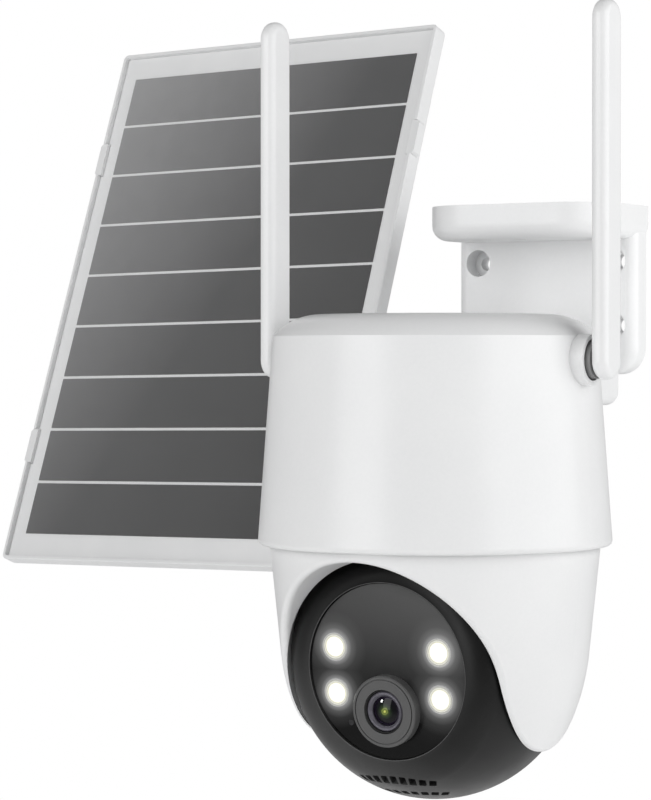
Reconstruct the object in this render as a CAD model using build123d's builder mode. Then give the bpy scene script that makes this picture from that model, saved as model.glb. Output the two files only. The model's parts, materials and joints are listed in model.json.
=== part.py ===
from build123d import *
from math import cos, degrees, radians, sin, sqrt, tan
import os

# Solar-powered pan-and-tilt security camera on a wall bracket.
#
# Millimetres, +Z up. The origin is the middle of the four wall-screw holes, on the mounting plane (Y = 0);
# +Y points into the wall and the camera looks along -Y. Most of the head is laid out from its datum: the
# pan axis at the height of the antenna hinges.

# ---------------------------------------------------------------- driving dimensions
wall_to_pan = 93.5  # mounting plane to pan axis
hinge_drop = 23.85  # hole-pattern centre down to the antenna hinge line

# Upper housing, heights from the hinge line
crown_top = 15.3
crown_flat = 39.2  # radius of the flat top
crown_radius = 20.6
crown_turn = 50  # degrees of arc before the crease
rim_height = -62.5
rim_radius = 60.1
housing_wall = 2.5
rim_round = 1.8

# Antennas
antenna_x = 64.2
antenna_thick = 6.0
antenna_wide = 13.0
antenna_tip = 118.0
collar_radius = 8.4
collar_bore = 6.9
collar_face = 59.6  # distances from the pan axis
collar_floor = 55.8
collar_root = 50.0
hub_radius = 6.2
stem_radius = 4.0

# Wall bracket and rear block
bracket_half = 36.8
plate_half = 36.0
arm_base_thick = 3.0
plate_thick = 9.5
plate_foot = -5.2
shelf_under = 43.0
shelf_top = 55.2
shelf_reach = 44.1  # from the mounting plane to the shelf's nose
hole_pitch_x = 54.6
hole_pitch_z = 23.1
hole_radius = 2.5
counterbore_radius = 4.9
counterbore_depth = 7.0
block_screw_x = 15.0
screw_radius = 2.0
screw_head = 3.0
block_half = 30.2
block_foot = -16.2
block_top = 5.0

# Yoke
yoke_top = -46.5
yoke_shoulder = 55.9  # radii and heights down the yoke's outer skin
bevel_depth = 2.4
bevel_height = 4.0
crease_height = -63.5
yoke_waist = 52.2
waist_height = -99.0
slot_half = 39.4
slot_centre = -105.0
slot_round = 1.8
arm_tip = -134.6
cavity_radius = 50.3
inner_face = 41.8
cover_radius = 22.0
disc_thick = 1.8
pocket_radius = 17.5
yoke_wall = 2.6
hub_height = -36.0
yoke_hub_radius = 14.0
running_gap = 0.05

# Ball head
ball_height = -100.0
ball_radius = 48.6
ball_wall = 2.6
ball_flat = 41.0
look_down = 5.0
face_front = 33.0
face_round = 11.0  # blends the flat face into the ball just outside the window
window_front = 32.1
window_radius = 29.3
window_thick = 2.2
lens_drop = 12.9
led_across = 19.75
led_heights = (7.2, -8.2)
led_radius = 4.85
axle_radius = 7.0
axle_bore = 4.5

# Gears
pan_teeth = 48
pan_pinion_teeth = 12
tilt_teeth = 24
tilt_pinion_teeth = 10
gear_module = 1.0
pressure_angle = 20.0
addendum = 0.65
backlash = 0.14
flank_steps = 4
pan_gear_height = 5.0
tilt_gear_height = 4.0
pan_gear_foot = -41.0
pan_centres = gear_module * (pan_teeth + pan_pinion_teeth) / 2
tilt_centres = gear_module * (tilt_teeth + tilt_pinion_teeth) / 2
tilt_gear_x = 33.0

# Interior levels
chassis_foot = -44.5
chassis_thick = 2.5
chassis_radius = 55.8
chassis_top = chassis_foot + chassis_thick
chassis_screw_ring = 51.8
chassis_screw_radius = 1.25
board_height = -18.0
tray_height = -13.5
cell_radius = 9.2
cell_length = 65.0
cell_count = 4

# Fastener rings shared by two or more parts
hub_screw_ring = 11.0
hub_screw_radius = 1.2
hub_bore = 8.0  # cable passage through the pan hub
cover_screw_ring = 19.75
cover_screw_radius = 0.9
boss_screw_ring = 17.5
boss_screw_radius = 1.25
panel_stud_radius = 3.1
shell_screw_radius = 1.1
shell_boss_radius = 3.4

# Solar panel
panel_width = 155.0
panel_height = 218.0
panel_thick = 7.5
cell_field_width = 139.0
cell_field_height = 196.0
strip_count = 9
strip_gap = 1.25
panel_centre = Vector(-138.6, 74.7, 25.3)  # from the datum, on the front face
panel_yaw = -4.8
panel_lean = 21.3
panel_twist = 1.0
stand_off = 20.0  # panel back to tilt axis
swivel_radius = 5.0
barrel_radius = 9.0


# ---------------------------------------------------------------- placing helpers
def at(x=0.0, y=0.0, z=0.0):
    """A point given from the datum, in the part's own frame."""
    return Vector(x, y - wall_to_pan, z - hinge_drop)


def level(z, x=0.0, y=0.0):
    """Horizontal plane at a height from the hinge line."""
    return Plane(at(x, y, z))


def facing_x(x, z=0.0, y=0.0):
    """Upright plane facing +X, with its own x along +Y."""
    return Plane(origin=at(x, y, z), x_dir=(0, 1, 0), z_dir=(1, 0, 0))


def facing_wall(y, z=0.0, x=0.0):
    """Upright plane whose normal points away from the wall (-Y), x to the right."""
    return Plane(origin=at(x, y, z), x_dir=(1, 0, 0), z_dir=(0, -1, 0))


section = facing_wall(0.0)
pan_axis = Axis(at(), (0, 0, 1))
look = Vector(0, -cos(radians(look_down)), -sin(radians(look_down)))
ball_centre = at(0, 0, ball_height)


def ball_plane(depth):
    """Plane square to the line of sight, a distance in front of the ball's centre."""
    return Plane(origin=ball_centre + look * depth, x_dir=(1, 0, 0), z_dir=look)


def save(block, name):
    """Label one finished sub-part and write its STEP file."""
    block.part.label = name
    export_step(block.part, f"parts/{name}.step")


def skirt_radius(z, inset=0.0):
    """Radius of the housing's conical skirt at a height."""
    turn = radians(crown_turn)
    crease_r = crown_flat + crown_radius * sin(turn)
    crease_z = crown_top - crown_radius * (1 - cos(turn))
    return crease_r + (crease_z - z) * (rim_radius - crease_r) / (crease_z - rim_height) - inset


def housing_section(inset, foot):
    """Half section of the round housing, inset from its outer skin, closed at the foot height."""
    crown_z = crown_top - crown_radius
    with BuildSketch(section) as half:
        with BuildLine():
            crown = CenterArc((crown_flat, crown_z), crown_radius - inset, 90, -crown_turn)
            Polyline(crown @ 1, (skirt_radius(foot, inset), foot), (0, foot),
                     (0, crown_top - inset), crown @ 0)
        make_face()
    return half.sketch


def yoke_section(inset):
    """Half section of the yoke's round outer skin, inset from it, closed along the pan axis."""
    shoulder = yoke_shoulder - inset
    with BuildSketch(section) as half:
        with BuildLine():
            Polyline((0, yoke_top), (shoulder - bevel_depth, yoke_top), (shoulder, yoke_top - bevel_height))
            neck = Polyline((shoulder, yoke_top - bevel_height), (shoulder, crease_height),
                            (yoke_waist - inset, waist_height))
            side = TangentArc(neck @ 1, (slot_half - inset, arm_tip), tangent=neck % 1)
            Polyline(side @ 1, (0, arm_tip), (0, yoke_top))
        make_face()
    return half.sketch


def involute_point(base, angle, turn):
    """Point of a circle's involute, unrolled by an angle and turned about the centre."""
    x = base * (cos(angle) + angle * sin(angle))
    y = base * (sin(angle) - angle * cos(angle))
    return Vector(x, y).rotate(Axis.Z, turn)


def gear_face(teeth, turn=0.0):
    """Involute spur gear outline about the origin, with a tooth centred on the turn angle."""
    pitch = gear_module * teeth / 2
    base = pitch * cos(radians(pressure_angle))
    tip = pitch + addendum * gear_module
    root = pitch - gear_module
    start = max(base, root)
    half_tooth = 90 / teeth - degrees(backlash / 2 / pitch)
    rise = degrees(tan(radians(pressure_angle))) - pressure_angle
    lower = []
    for step in range(flank_steps + 1):
        radius = start + (tip - start) * step / flank_steps
        unroll = sqrt(max((radius / base) ** 2 - 1, 0))
        lower.append(involute_point(base, unroll, -half_tooth - rise))
    upper = [Vector(point.X, -point.Y) for point in reversed(lower)]
    sunk = root * 0.9
    with BuildSketch() as tooth:
        with BuildLine():
            Polyline(*lower, *upper, (sunk, upper[-1].Y), (sunk, lower[0].Y), close=True)
        make_face()
    with BuildSketch() as gear:
        Circle(root)
        with PolarLocations(0, teeth, start_angle=turn):
            add(tooth.sketch)
    return gear.sketch


os.makedirs("parts", exist_ok=True)

# ---------------------------------------------------------------- wall bracket
plate_back = wall_to_pan - arm_base_thick
plate_front = plate_back - plate_thick
shelf_nose = wall_to_pan - shelf_reach
shelf_foot = at(z=shelf_under).Z
hole_row = hinge_drop

with BuildPart() as wall_bracket:
    with BuildSketch(facing_wall(plate_back, (plate_foot + shelf_top) / 2)):
        Rectangle(2 * plate_half, shelf_top - plate_foot)
        fillet(vertices().group_by(Axis.Y)[0], 9.5)
    extrude(amount=plate_thick)
    front_rim = wall_bracket.faces().sort_by(Axis.Y)[0].edges()
    fillet(front_rim.filter_by(lambda edge: edge.center().Z < at(z=shelf_top - 1).Z), 4.0)
    with BuildSketch(level(shelf_under)):
        with Locations((0, (shelf_nose + plate_back) / 2)):
            Rectangle(2 * bracket_half, plate_back - shelf_nose)
        fillet(vertices().group_by(Axis.Y)[0], 19)
    extrude(amount=shelf_top - shelf_under)
    under_edges = wall_bracket.edges().filter_by(lambda edge: abs(edge.center().Z - shelf_foot) < 0.1)
    fillet(under_edges.filter_by(lambda edge: edge.center().Y < at(y=plate_front - 3).Y), 5.5)
    with BuildSketch(facing_wall(plate_front, hole_row)):
        with GridLocations(hole_pitch_x, hole_pitch_z, 2, 2):
            Circle(counterbore_radius)
    extrude(amount=-counterbore_depth, mode=Mode.SUBTRACT)
    with BuildSketch(facing_wall(plate_front, hole_row)):
        with GridLocations(hole_pitch_x, hole_pitch_z, 2, 2):
            Circle(hole_radius)
    extrude(amount=-plate_thick, mode=Mode.SUBTRACT)
    with BuildSketch(level(shelf_under)):
        with Locations((0, shelf_nose + 12)):
            Circle(hole_radius)
    extrude(amount=shelf_top - shelf_under, mode=Mode.SUBTRACT)
    with BuildSketch(facing_wall(plate_back)):
        with GridLocations(2 * block_screw_x, 0, 2, 1):
            Circle(screw_radius)
    extrude(amount=plate_thick, mode=Mode.SUBTRACT)
    with BuildSketch(facing_wall(plate_back)):
        with GridLocations(2 * block_screw_x, 0, 2, 1):
            Circle(2 * screw_radius)
    extrude(amount=screw_head, mode=Mode.SUBTRACT)
save(wall_bracket, "wall_bracket")

# ---------------------------------------------------------------- panel frame of reference
yaw = radians(panel_yaw)
lean = radians(panel_lean)
twist = radians(panel_twist)
across = Vector(cos(yaw), sin(yaw), 0)
panel_normal = Vector(sin(yaw) * cos(lean), -cos(yaw) * cos(lean), sin(lean))
panel_up = Vector(-sin(yaw) * sin(lean), cos(yaw) * sin(lean), cos(lean))
panel_origin = at(panel_centre.X, panel_centre.Y, panel_centre.Z)
panel_side = across * cos(twist) + panel_up * sin(twist)
panel_plane = Plane(origin=panel_origin, x_dir=panel_side, z_dir=panel_normal)
pivot = panel_origin - panel_normal * (panel_thick + stand_off)
barrel_top = -13.0  # heights of the swivel barrel from the pivot
barrel_foot = -27.0
ear_inside = 5.0
ear_outside = 9.0
ear_radius = 8.0
tilt_pin_radius = 3.0
head_inner = 13.5  # tilt head's disc, distances from the pivot
head_outer = 17.5


def pivot_plane(height):
    """Horizontal plane through the swivel axis, at a height from the pivot, turned with the knuckle."""
    return Plane(origin=pivot + Vector(0, 0, height), x_dir=across, z_dir=(0, 0, 1))


def hinge_plane(distance):
    """Plane square to the tilt pin, a distance along it from the pivot."""
    return Plane(origin=pivot + across * distance, x_dir=(0, 0, 1), z_dir=across)


# ---------------------------------------------------------------- panel arm, behind the wall bracket
strip_foot = pivot.Z + barrel_foot - at().Z
strip_top = pivot.Z + barrel_top - at().Z
base_half = 33.0
base_foot = -3.0
base_head = 41.0
strip_start = 10.0
strip_middle = (strip_foot + strip_top) / 2
strip_end = pivot.X + barrel_radius - 2
relief_length = 12.0  # the arm's back stands off the wall beside the barrel
relief_depth = 0.5

with BuildPart() as panel_arm:
    with BuildSketch(facing_wall(wall_to_pan)):
        with Locations((0, (base_foot + base_head) / 2)):
            Rectangle(2 * base_half, base_head - base_foot)
        fillet(vertices(), 4)
        with Locations(((strip_start + strip_end) / 2, strip_middle)):
            Rectangle(strip_start - strip_end, strip_top - strip_foot)
    extrude(amount=arm_base_thick)
    with BuildSketch(facing_wall(wall_to_pan, hole_row)):
        with GridLocations(hole_pitch_x, hole_pitch_z, 2, 2):
            Circle(hole_radius)
    extrude(amount=arm_base_thick, mode=Mode.SUBTRACT)
    with BuildSketch(pivot_plane(barrel_foot)):
        Circle(barrel_radius)
        with Locations((barrel_radius - 1, -4.6)):
            Rectangle(barrel_radius + 3, 8)
    extrude(amount=barrel_top - barrel_foot)
    with BuildSketch(pivot_plane(barrel_foot)):
        Circle(swivel_radius + running_gap)
    extrude(amount=barrel_top - barrel_foot, mode=Mode.SUBTRACT)
    with BuildSketch(facing_wall(wall_to_pan)):
        with Locations((strip_end + relief_length / 2, strip_middle)):
            Rectangle(relief_length, strip_top - strip_foot)
    extrude(amount=relief_depth, mode=Mode.SUBTRACT)
save(panel_arm, "panel_arm")

# ---------------------------------------------------------------- rear mounting block and its screws
housing_solid = revolve(housing_section(0, rim_height), axis=pan_axis)
pad_face = 48.5  # inner pad that the block's screws bear on, distance behind the pan axis
pad_screw_height = -6.0
pad_screw_x = 10.0
pad_screw_radius = 1.5
pad_screw_head = 2.2
pad_screw_length = 14.0

with BuildPart() as rear_mount_block:
    with BuildSketch(facing_wall(plate_front, (block_foot + block_top) / 2)):
        Rectangle(2 * block_half, block_top - block_foot)
        fillet(vertices(), 5.0)
    extrude(amount=40)
    fillet(rear_mount_block.faces().sort_by(Axis.Y)[-1].edges(), 1.5)
    add(housing_solid, mode=Mode.SUBTRACT)
    with BuildSketch(facing_wall(plate_front)):
        with GridLocations(2 * block_screw_x, 0, 2, 1):
            Circle(screw_radius)
    extrude(amount=12, mode=Mode.SUBTRACT)
    with BuildSketch(facing_wall(pad_face, pad_screw_height)):
        with GridLocations(2 * pad_screw_x, 0, 2, 1):
            Circle(pad_screw_radius)
    extrude(amount=-pad_screw_length - 1, mode=Mode.SUBTRACT)
save(rear_mount_block, "rear_mount_block")

with BuildPart() as mount_screws:
    with BuildSketch(facing_wall(plate_back)):
        with GridLocations(2 * block_screw_x, 0, 2, 1):
            Circle(2 * screw_radius - 0.3)
    extrude(amount=screw_head)
    with BuildSketch(facing_wall(plate_back)):
        with GridLocations(2 * block_screw_x, 0, 2, 1):
            Circle(screw_radius)
    extrude(amount=plate_thick + 10)
    with BuildSketch(facing_wall(plate_back)):
        with GridLocations(2 * block_screw_x, 0, 2, 1):
            RegularPolygon(1.7, 6)
    extrude(amount=1.6, mode=Mode.SUBTRACT)
    with BuildSketch(facing_wall(pad_face, pad_screw_height)):
        with GridLocations(2 * pad_screw_x, 0, 2, 1):
            Circle(2 * pad_screw_radius)
    extrude(amount=pad_screw_head)
    with BuildSketch(facing_wall(pad_face, pad_screw_height)):
        with GridLocations(2 * pad_screw_x, 0, 2, 1):
            Circle(pad_screw_radius)
    extrude(amount=-pad_screw_length)
save(mount_screws, "mount_screws")

# ---------------------------------------------------------------- upper housing
field_depth = 53.5
cover_half = 12.6
cover_foot = -39.0
cover_head = -21.2
cover_pin_height = -37.9
cover_pin_y = 54.65
cover_pin_radius = 0.8
cover_pin_reach = 14.3
socket_width = 9.0
socket_tall = 3.2
usb_x = -5.5
card_x = 5.5
socket_height = -31.5
button_height = -25.5
button_radius = 2.2

with BuildPart() as upper_housing:
    add(housing_solid)
    fillet(upper_housing.edges().sort_by(Axis.Z)[0], rim_round)
    revolve(housing_section(housing_wall, rim_height - 1), axis=pan_axis, mode=Mode.SUBTRACT)
    for side in (-1, 1):
        with BuildSketch(facing_x(side * collar_root)):
            Circle(collar_radius)
        extrude(amount=side * (collar_face - collar_root))
        with BuildSketch(facing_x(side * collar_floor)):
            Circle(collar_bore)
        extrude(amount=side * collar_floor, mode=Mode.SUBTRACT)
        with BuildSketch(facing_x(side * (collar_root - 1))):
            Circle(stem_radius + running_gap)
        extrude(amount=side * collar_root, mode=Mode.SUBTRACT)
    with BuildSketch(level(chassis_top)):
        with PolarLocations(chassis_screw_ring, 4, start_angle=45):
            Circle(3.6)
    extrude(amount=18)
    with BuildSketch(level(chassis_top)):
        with PolarLocations(chassis_screw_ring, 4, start_angle=45):
            Circle(chassis_screw_radius)
    extrude(amount=10, mode=Mode.SUBTRACT)
    with BuildSketch(facing_wall(pad_face, pad_screw_height)):
        Rectangle(32, 12)
    extrude(amount=-4.1)
    with BuildSketch(facing_wall(pad_face, pad_screw_height)):
        with GridLocations(2 * pad_screw_x, 0, 2, 1):
            Circle(pad_screw_radius)
    extrude(amount=-9, mode=Mode.SUBTRACT)
    with BuildSketch(facing_wall(field_depth + 1.5, (cover_foot + cover_head) / 2)):
        Rectangle(2 * cover_half + 5.8, cover_head - cover_foot + 4.2)
    extrude(amount=10)
    with BuildSketch(facing_wall(field_depth, (cover_foot + cover_head) / 2)):
        Rectangle(2 * cover_half + 0.5, cover_head - cover_foot + 0.5)
    extrude(amount=-8, mode=Mode.SUBTRACT)
    with BuildSketch(facing_x(-cover_pin_reach - 0.3, cover_pin_height, cover_pin_y)):
        Circle(cover_pin_radius + running_gap)
    extrude(amount=2 * cover_pin_reach + 0.6, mode=Mode.SUBTRACT)
    with BuildSketch(facing_wall(field_depth, socket_height)):
        with Locations((usb_x, 0)):
            RectangleRounded(socket_width, socket_tall, 1.5)
        with Locations((card_x, 0)):
            Rectangle(12.0, 1.4)
        with Locations((0, button_height - socket_height)):
            Circle(button_radius + running_gap)
    extrude(amount=9, mode=Mode.SUBTRACT)
save(upper_housing, "upper_housing")

# ---------------------------------------------------------------- ports at the back
with BuildPart() as usb_port:
    with BuildSketch(facing_wall(field_depth - 0.2, socket_height, usb_x)):
        RectangleRounded(socket_width, socket_tall, 1.5)
    extrude(amount=7.6)
    with BuildSketch(facing_wall(field_depth - 0.2, socket_height, usb_x)):
        RectangleRounded(socket_width - 0.8, socket_tall - 0.8, 1.1)
        Rectangle(6.4, 0.7, mode=Mode.SUBTRACT)
    extrude(amount=6.4, mode=Mode.SUBTRACT)
save(usb_port, "usb_port")

with BuildPart() as card_tray:
    with BuildSketch(facing_wall(field_depth - 0.3, socket_height, card_x)):
        Rectangle(12.0, 1.4)
    extrude(amount=1.2)
    with BuildSketch(facing_wall(field_depth - 1.5, socket_height, card_x)):
        Rectangle(10.6, 0.9)
    extrude(amount=11)
save(card_tray, "card_tray")

with BuildPart() as power_button:
    with BuildSketch(facing_wall(field_depth - 0.1, button_height)):
        Circle(button_radius)
    extrude(amount=9.2)
    fillet(power_button.edges().sort_by(Axis.Y)[-1], 0.5)
    with BuildSketch(facing_wall(44.8, button_height)):
        Circle(button_radius + 0.9)
    extrude(amount=1.0)
save(power_button, "power_button")

cover_thick = 1.9
with BuildPart() as port_cover:
    with BuildSketch(facing_wall(field_depth + 0.2, (cover_pin_height + cover_head) / 2)):
        Rectangle(2 * cover_half - 0.3, cover_head - cover_pin_height)
        fillet(vertices().group_by(Axis.Y)[-1], 1.5)
    extrude(amount=-cover_thick)
    with BuildSketch(facing_x(0.15 - cover_half, cover_pin_height, cover_pin_y)):
        Circle(cover_thick / 2)
    extrude(amount=2 * cover_half - 0.3)
    with BuildSketch(facing_x(-cover_pin_reach, cover_pin_height, cover_pin_y)):
        Circle(cover_pin_radius)
    extrude(amount=2 * cover_pin_reach)
    with BuildSketch(facing_wall(field_depth + 2.1, cover_head - 2.2)):
        RectangleRounded(8, 1.4, 0.6)
    extrude(amount=-0.6)
save(port_cover, "port_cover")

# ---------------------------------------------------------------- chassis and seal
post_spots = [(43.0, 15.7), (-43.0, 15.7), (-43.0, -15.7), (43.0, -15.7)]
motor_ear = 17.5
motor_plate = -36.7  # height of the pan motor's ears
bush_seat = 16.0
groove_depth = 1.6
groove_low = chassis_foot + 0.6
groove_high = chassis_top - 0.6

with BuildPart() as chassis_plate:
    with BuildSketch(level(chassis_foot)):
        Circle(chassis_radius)
        Circle(bush_seat, mode=Mode.SUBTRACT)
        with PolarLocations(chassis_screw_ring, 4, start_angle=45):
            Circle(chassis_screw_radius, mode=Mode.SUBTRACT)
    extrude(amount=chassis_thick)
    with BuildSketch(level(groove_low)):
        Circle(chassis_radius + 1)
        Circle(chassis_radius - groove_depth, mode=Mode.SUBTRACT)
    extrude(amount=groove_high - groove_low, mode=Mode.SUBTRACT)
    with BuildSketch(level(chassis_top)):
        with Locations(*post_spots):
            Circle(3.0)
    extrude(amount=board_height - chassis_top)
    with BuildSketch(level(chassis_top, 0, -pan_centres)):
        with GridLocations(2 * motor_ear, 0, 2, 1):
            Circle(2.5)
    extrude(amount=motor_plate - chassis_top)
save(chassis_plate, "chassis_plate")

with BuildPart() as housing_seal:
    with BuildSketch(level(groove_low)):
        Circle(skirt_radius(groove_high, housing_wall) - 0.02)
        Circle(chassis_radius - groove_depth, mode=Mode.SUBTRACT)
    extrude(amount=groove_high - groove_low)
save(housing_seal, "housing_seal")

with BuildPart() as chassis_screws:
    with BuildSketch(level(chassis_foot)):
        with PolarLocations(chassis_screw_ring, 4, start_angle=45):
            Circle(2.4)
    extrude(amount=-1.4)
    with BuildSketch(level(chassis_foot)):
        with PolarLocations(chassis_screw_ring, 4, start_angle=45):
            Circle(chassis_screw_radius)
    extrude(amount=chassis_thick + 8)
save(chassis_screws, "chassis_screws")

with BuildPart() as pan_bush:
    with BuildSketch(level(chassis_foot)):
        Circle(bush_seat)
        Circle(yoke_hub_radius + running_gap, mode=Mode.SUBTRACT)
    extrude(amount=chassis_thick)
    with BuildSketch(level(chassis_foot)):
        Circle(18.5)
        Circle(yoke_hub_radius + running_gap, mode=Mode.SUBTRACT)
    extrude(amount=-1.6)
save(pan_bush, "pan_bush")

# ---------------------------------------------------------------- boards and battery
board_thick = 1.6
with BuildPart() as main_board:
    with BuildSketch(level(board_height)):
        Circle(50.0)
        with Locations((0, 52)):
            Rectangle(40, 16, mode=Mode.SUBTRACT)
        Circle(6.0, mode=Mode.SUBTRACT)
    extrude(amount=board_thick)
    with BuildSketch(level(board_height + board_thick)):
        with Locations((-24, -22)):
            Rectangle(16, 16)
        with Locations((24, -24)):
            Rectangle(12, 10)
        with Locations((30, 12)):
            Rectangle(8, 14)
        with Locations((-34, 8)):
            Rectangle(7, 7)
    extrude(amount=1.2)
save(main_board, "main_board")

with BuildPart() as network_module:
    with BuildSketch(level(board_height + board_thick, 0, 20)):
        Rectangle(32, 26)
        fillet(vertices(), 1)
    extrude(amount=2.2)
save(network_module, "network_module")

cell_pitch = 2 * cell_radius + 0.4
tray_inside_x = cell_count * cell_pitch
tray_inside_y = cell_length + 2.4
tray_wall = 1.4
cell_height = tray_height + 1.5 + 0.2 + cell_radius

with BuildPart() as battery_tray:
    with BuildSketch(level(tray_height)):
        Rectangle(tray_inside_x + 2 * tray_wall, tray_inside_y + 2 * tray_wall)
        fillet(vertices(), 3)
    extrude(amount=11)
    with BuildSketch(level(tray_height + 1.5)):
        Rectangle(tray_inside_x, tray_inside_y)
        fillet(vertices(), 1.6)
    extrude(amount=11, mode=Mode.SUBTRACT)
    with BuildSketch(level(tray_height)):
        with GridLocations(70, 60, 2, 2):
            Circle(2.5)
    extrude(amount=board_height + board_thick - tray_height)
save(battery_tray, "battery_tray")

with BuildPart() as battery_cells:
    with BuildSketch(facing_wall(cell_length / 2, cell_height)):
        with GridLocations(cell_pitch, 0, cell_count, 1):
            Circle(cell_radius)
    extrude(amount=cell_length)
    with BuildSketch(facing_wall(-cell_length / 2, cell_height)):
        with GridLocations(cell_pitch, 0, cell_count, 1):
            Circle(3.0)
    extrude(amount=0.8)
save(battery_cells, "battery_cells")

# ---------------------------------------------------------------- pan drive
motor_foot = -35.5
motor_can = 12.0
shaft_radius = 2.0

with BuildPart() as pan_motor:
    with BuildSketch(level(motor_foot, 0, -pan_centres)):
        Circle(motor_can)
    extrude(amount=15)
    fillet(pan_motor.edges().sort_by(Axis.Z)[-1], 1)
    with BuildSketch(level(motor_plate, 0, -pan_centres)):
        SlotCenterToCenter(2 * motor_ear, 7)
        with GridLocations(2 * motor_ear, 0, 2, 1):
            Circle(1.2, mode=Mode.SUBTRACT)
    extrude(amount=1.2)
    with BuildSketch(level(motor_plate, 0, -pan_centres)):
        Circle(shaft_radius + running_gap)
    extrude(amount=8, mode=Mode.SUBTRACT)
save(pan_motor, "pan_motor")

pan_gear_plane = level(pan_gear_foot)
pan_pinion_plane = level(pan_gear_foot, 0, -pan_centres)
with BuildPart() as pan_pinion:
    with BuildSketch(pan_pinion_plane):
        add(gear_face(pan_pinion_teeth, 90))
    extrude(amount=pan_gear_height - 0.8)
    with BuildSketch(pan_pinion_plane):
        Circle(shaft_radius)
    extrude(amount=pan_gear_height + 6)
save(pan_pinion, "pan_pinion")

with BuildPart() as pan_ring_gear:
    with BuildSketch(pan_gear_plane):
        add(gear_face(pan_teeth, -90 + 180 / pan_teeth))
    extrude(amount=pan_gear_height)
    with BuildSketch(pan_gear_plane):
        Circle(18)
    extrude(amount=-0.7)
    with BuildSketch(pan_gear_plane.offset(-1)):
        Circle(yoke_hub_radius)
    extrude(amount=pan_gear_height + 2, mode=Mode.SUBTRACT)
save(pan_ring_gear, "pan_ring_gear")

cap_thick = 1.5
with BuildPart() as hub_cap:
    with BuildSketch(level(hub_height)):
        Circle(16.2)
        Circle(hub_bore, mode=Mode.SUBTRACT)
        with PolarLocations(hub_screw_ring, 3):
            Circle(hub_screw_radius, mode=Mode.SUBTRACT)
    extrude(amount=cap_thick)
save(hub_cap, "hub_cap")


# ---------------------------------------------------------------- yoke
ball_envelope = Pos(ball_centre) * (Sphere(cavity_radius) & Box(2 * inner_face, 120, 120))
inset_skin = revolve(yoke_section(yoke_wall), axis=pan_axis)
pocket_reach = 52.0
drive_recess = -60.0  # floor of the ring-shaped recess in the yoke's top


def side_disc(side, start, reach, outer, inner=0.0):
    """Disc or ring about the tilt axis, from start to reach, on the side given by its sign."""
    with BuildSketch(facing_x(side * start, ball_height)) as ring:
        Circle(outer)
        if inner > 0:
            Circle(inner, mode=Mode.SUBTRACT)
    return extrude(ring.sketch, amount=side * (reach - start), mode=Mode.PRIVATE)


def on_slot_rim(edge):
    """True for an edge that lies along the slot's wall, apart from the lines across the wall."""
    middle = edge.center(CenterOf.MASS) if edge.geom_type == GeomType.LINE else edge @ 0.5
    x, z = middle.X, middle.Z - at().Z - slot_centre
    across_wall = edge.geom_type == GeomType.LINE and z > -1
    from_wall = abs(x) - slot_half if z < 0 else sqrt(x ** 2 + z ** 2) - slot_half
    return abs(from_wall) < 0.05 and not across_wall


arm_pockets = [side_disc(side, inner_face, pocket_reach, pocket_radius) & inset_skin for side in (-1, 1)]

with BuildPart() as yoke_shell:
    revolve(yoke_section(0), axis=pan_axis)
    with BuildSketch(section):
        with Locations((0, slot_centre)):
            Circle(slot_half)
        with Locations((0, slot_centre - 30)):
            Rectangle(2 * slot_half, 60)
    extrude(amount=70, both=True, mode=Mode.SUBTRACT)
    fillet(yoke_shell.edges().filter_by(on_slot_rim), slot_round)
    add(ball_envelope, mode=Mode.SUBTRACT)
    for side in (-1, 1):
        add(side_disc(side, inner_face - 3, inner_face + disc_thick, cover_radius), mode=Mode.SUBTRACT)
    add(arm_pockets, mode=Mode.SUBTRACT)
    with BuildSketch(level(drive_recess)):
        Circle(51.5)
        Circle(41.0, mode=Mode.SUBTRACT)
    extrude(amount=yoke_top - drive_recess, mode=Mode.SUBTRACT)
    with BuildSketch(level(yoke_top)):
        Circle(yoke_hub_radius)
    extrude(amount=hub_height - yoke_top)
    with BuildSketch(level(hub_height)):
        with PolarLocations(hub_screw_ring, 3):
            Circle(hub_screw_radius)
    extrude(amount=-10, mode=Mode.SUBTRACT)
    with BuildSketch(level(hub_height)):
        Circle(hub_bore)
    extrude(amount=-30, mode=Mode.SUBTRACT)
    for side in (-1, 1):
        with BuildSketch(facing_x(side * inner_face, ball_height)):
            with PolarLocations(cover_screw_ring, 3, start_angle=90):
                Circle(cover_screw_radius)
        extrude(amount=side * 4, mode=Mode.SUBTRACT)
save(yoke_shell, "yoke_shell")

with BuildPart() as arm_covers:
    for side in (-1, 1):
        with BuildSketch(facing_x(side * inner_face, ball_height)):
            Circle(cover_radius - 0.1)
            Circle(axle_radius, mode=Mode.SUBTRACT)
            with PolarLocations(cover_screw_ring, 3, start_angle=90):
                Circle(cover_screw_radius, mode=Mode.SUBTRACT)
        extrude(amount=side * disc_thick)
        with BuildSketch(facing_x(side * inner_face, ball_height)):
            with PolarLocations(cover_screw_ring, 3, start_angle=90):
                Circle(1.7)
        extrude(amount=side * 0.8, mode=Mode.SUBTRACT)
save(arm_covers, "arm_covers")

with BuildPart() as yoke_screws:
    with BuildSketch(level(hub_height + cap_thick)):
        with PolarLocations(hub_screw_ring, 3):
            Circle(2.2)
    extrude(amount=1.4)
    with BuildSketch(level(hub_height + cap_thick)):
        with PolarLocations(hub_screw_ring, 3):
            Circle(hub_screw_radius)
    extrude(amount=-8)
    for side in (-1, 1):
        with BuildSketch(facing_x(side * inner_face, ball_height)):
            with PolarLocations(cover_screw_ring, 3, start_angle=90):
                Circle(1.6)
        extrude(amount=side * 0.8)
        with BuildSketch(facing_x(side * inner_face, ball_height)):
            with PolarLocations(cover_screw_ring, 3, start_angle=90):
                Circle(cover_screw_radius)
        extrude(amount=side * 4)
save(yoke_screws, "yoke_screws")

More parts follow.
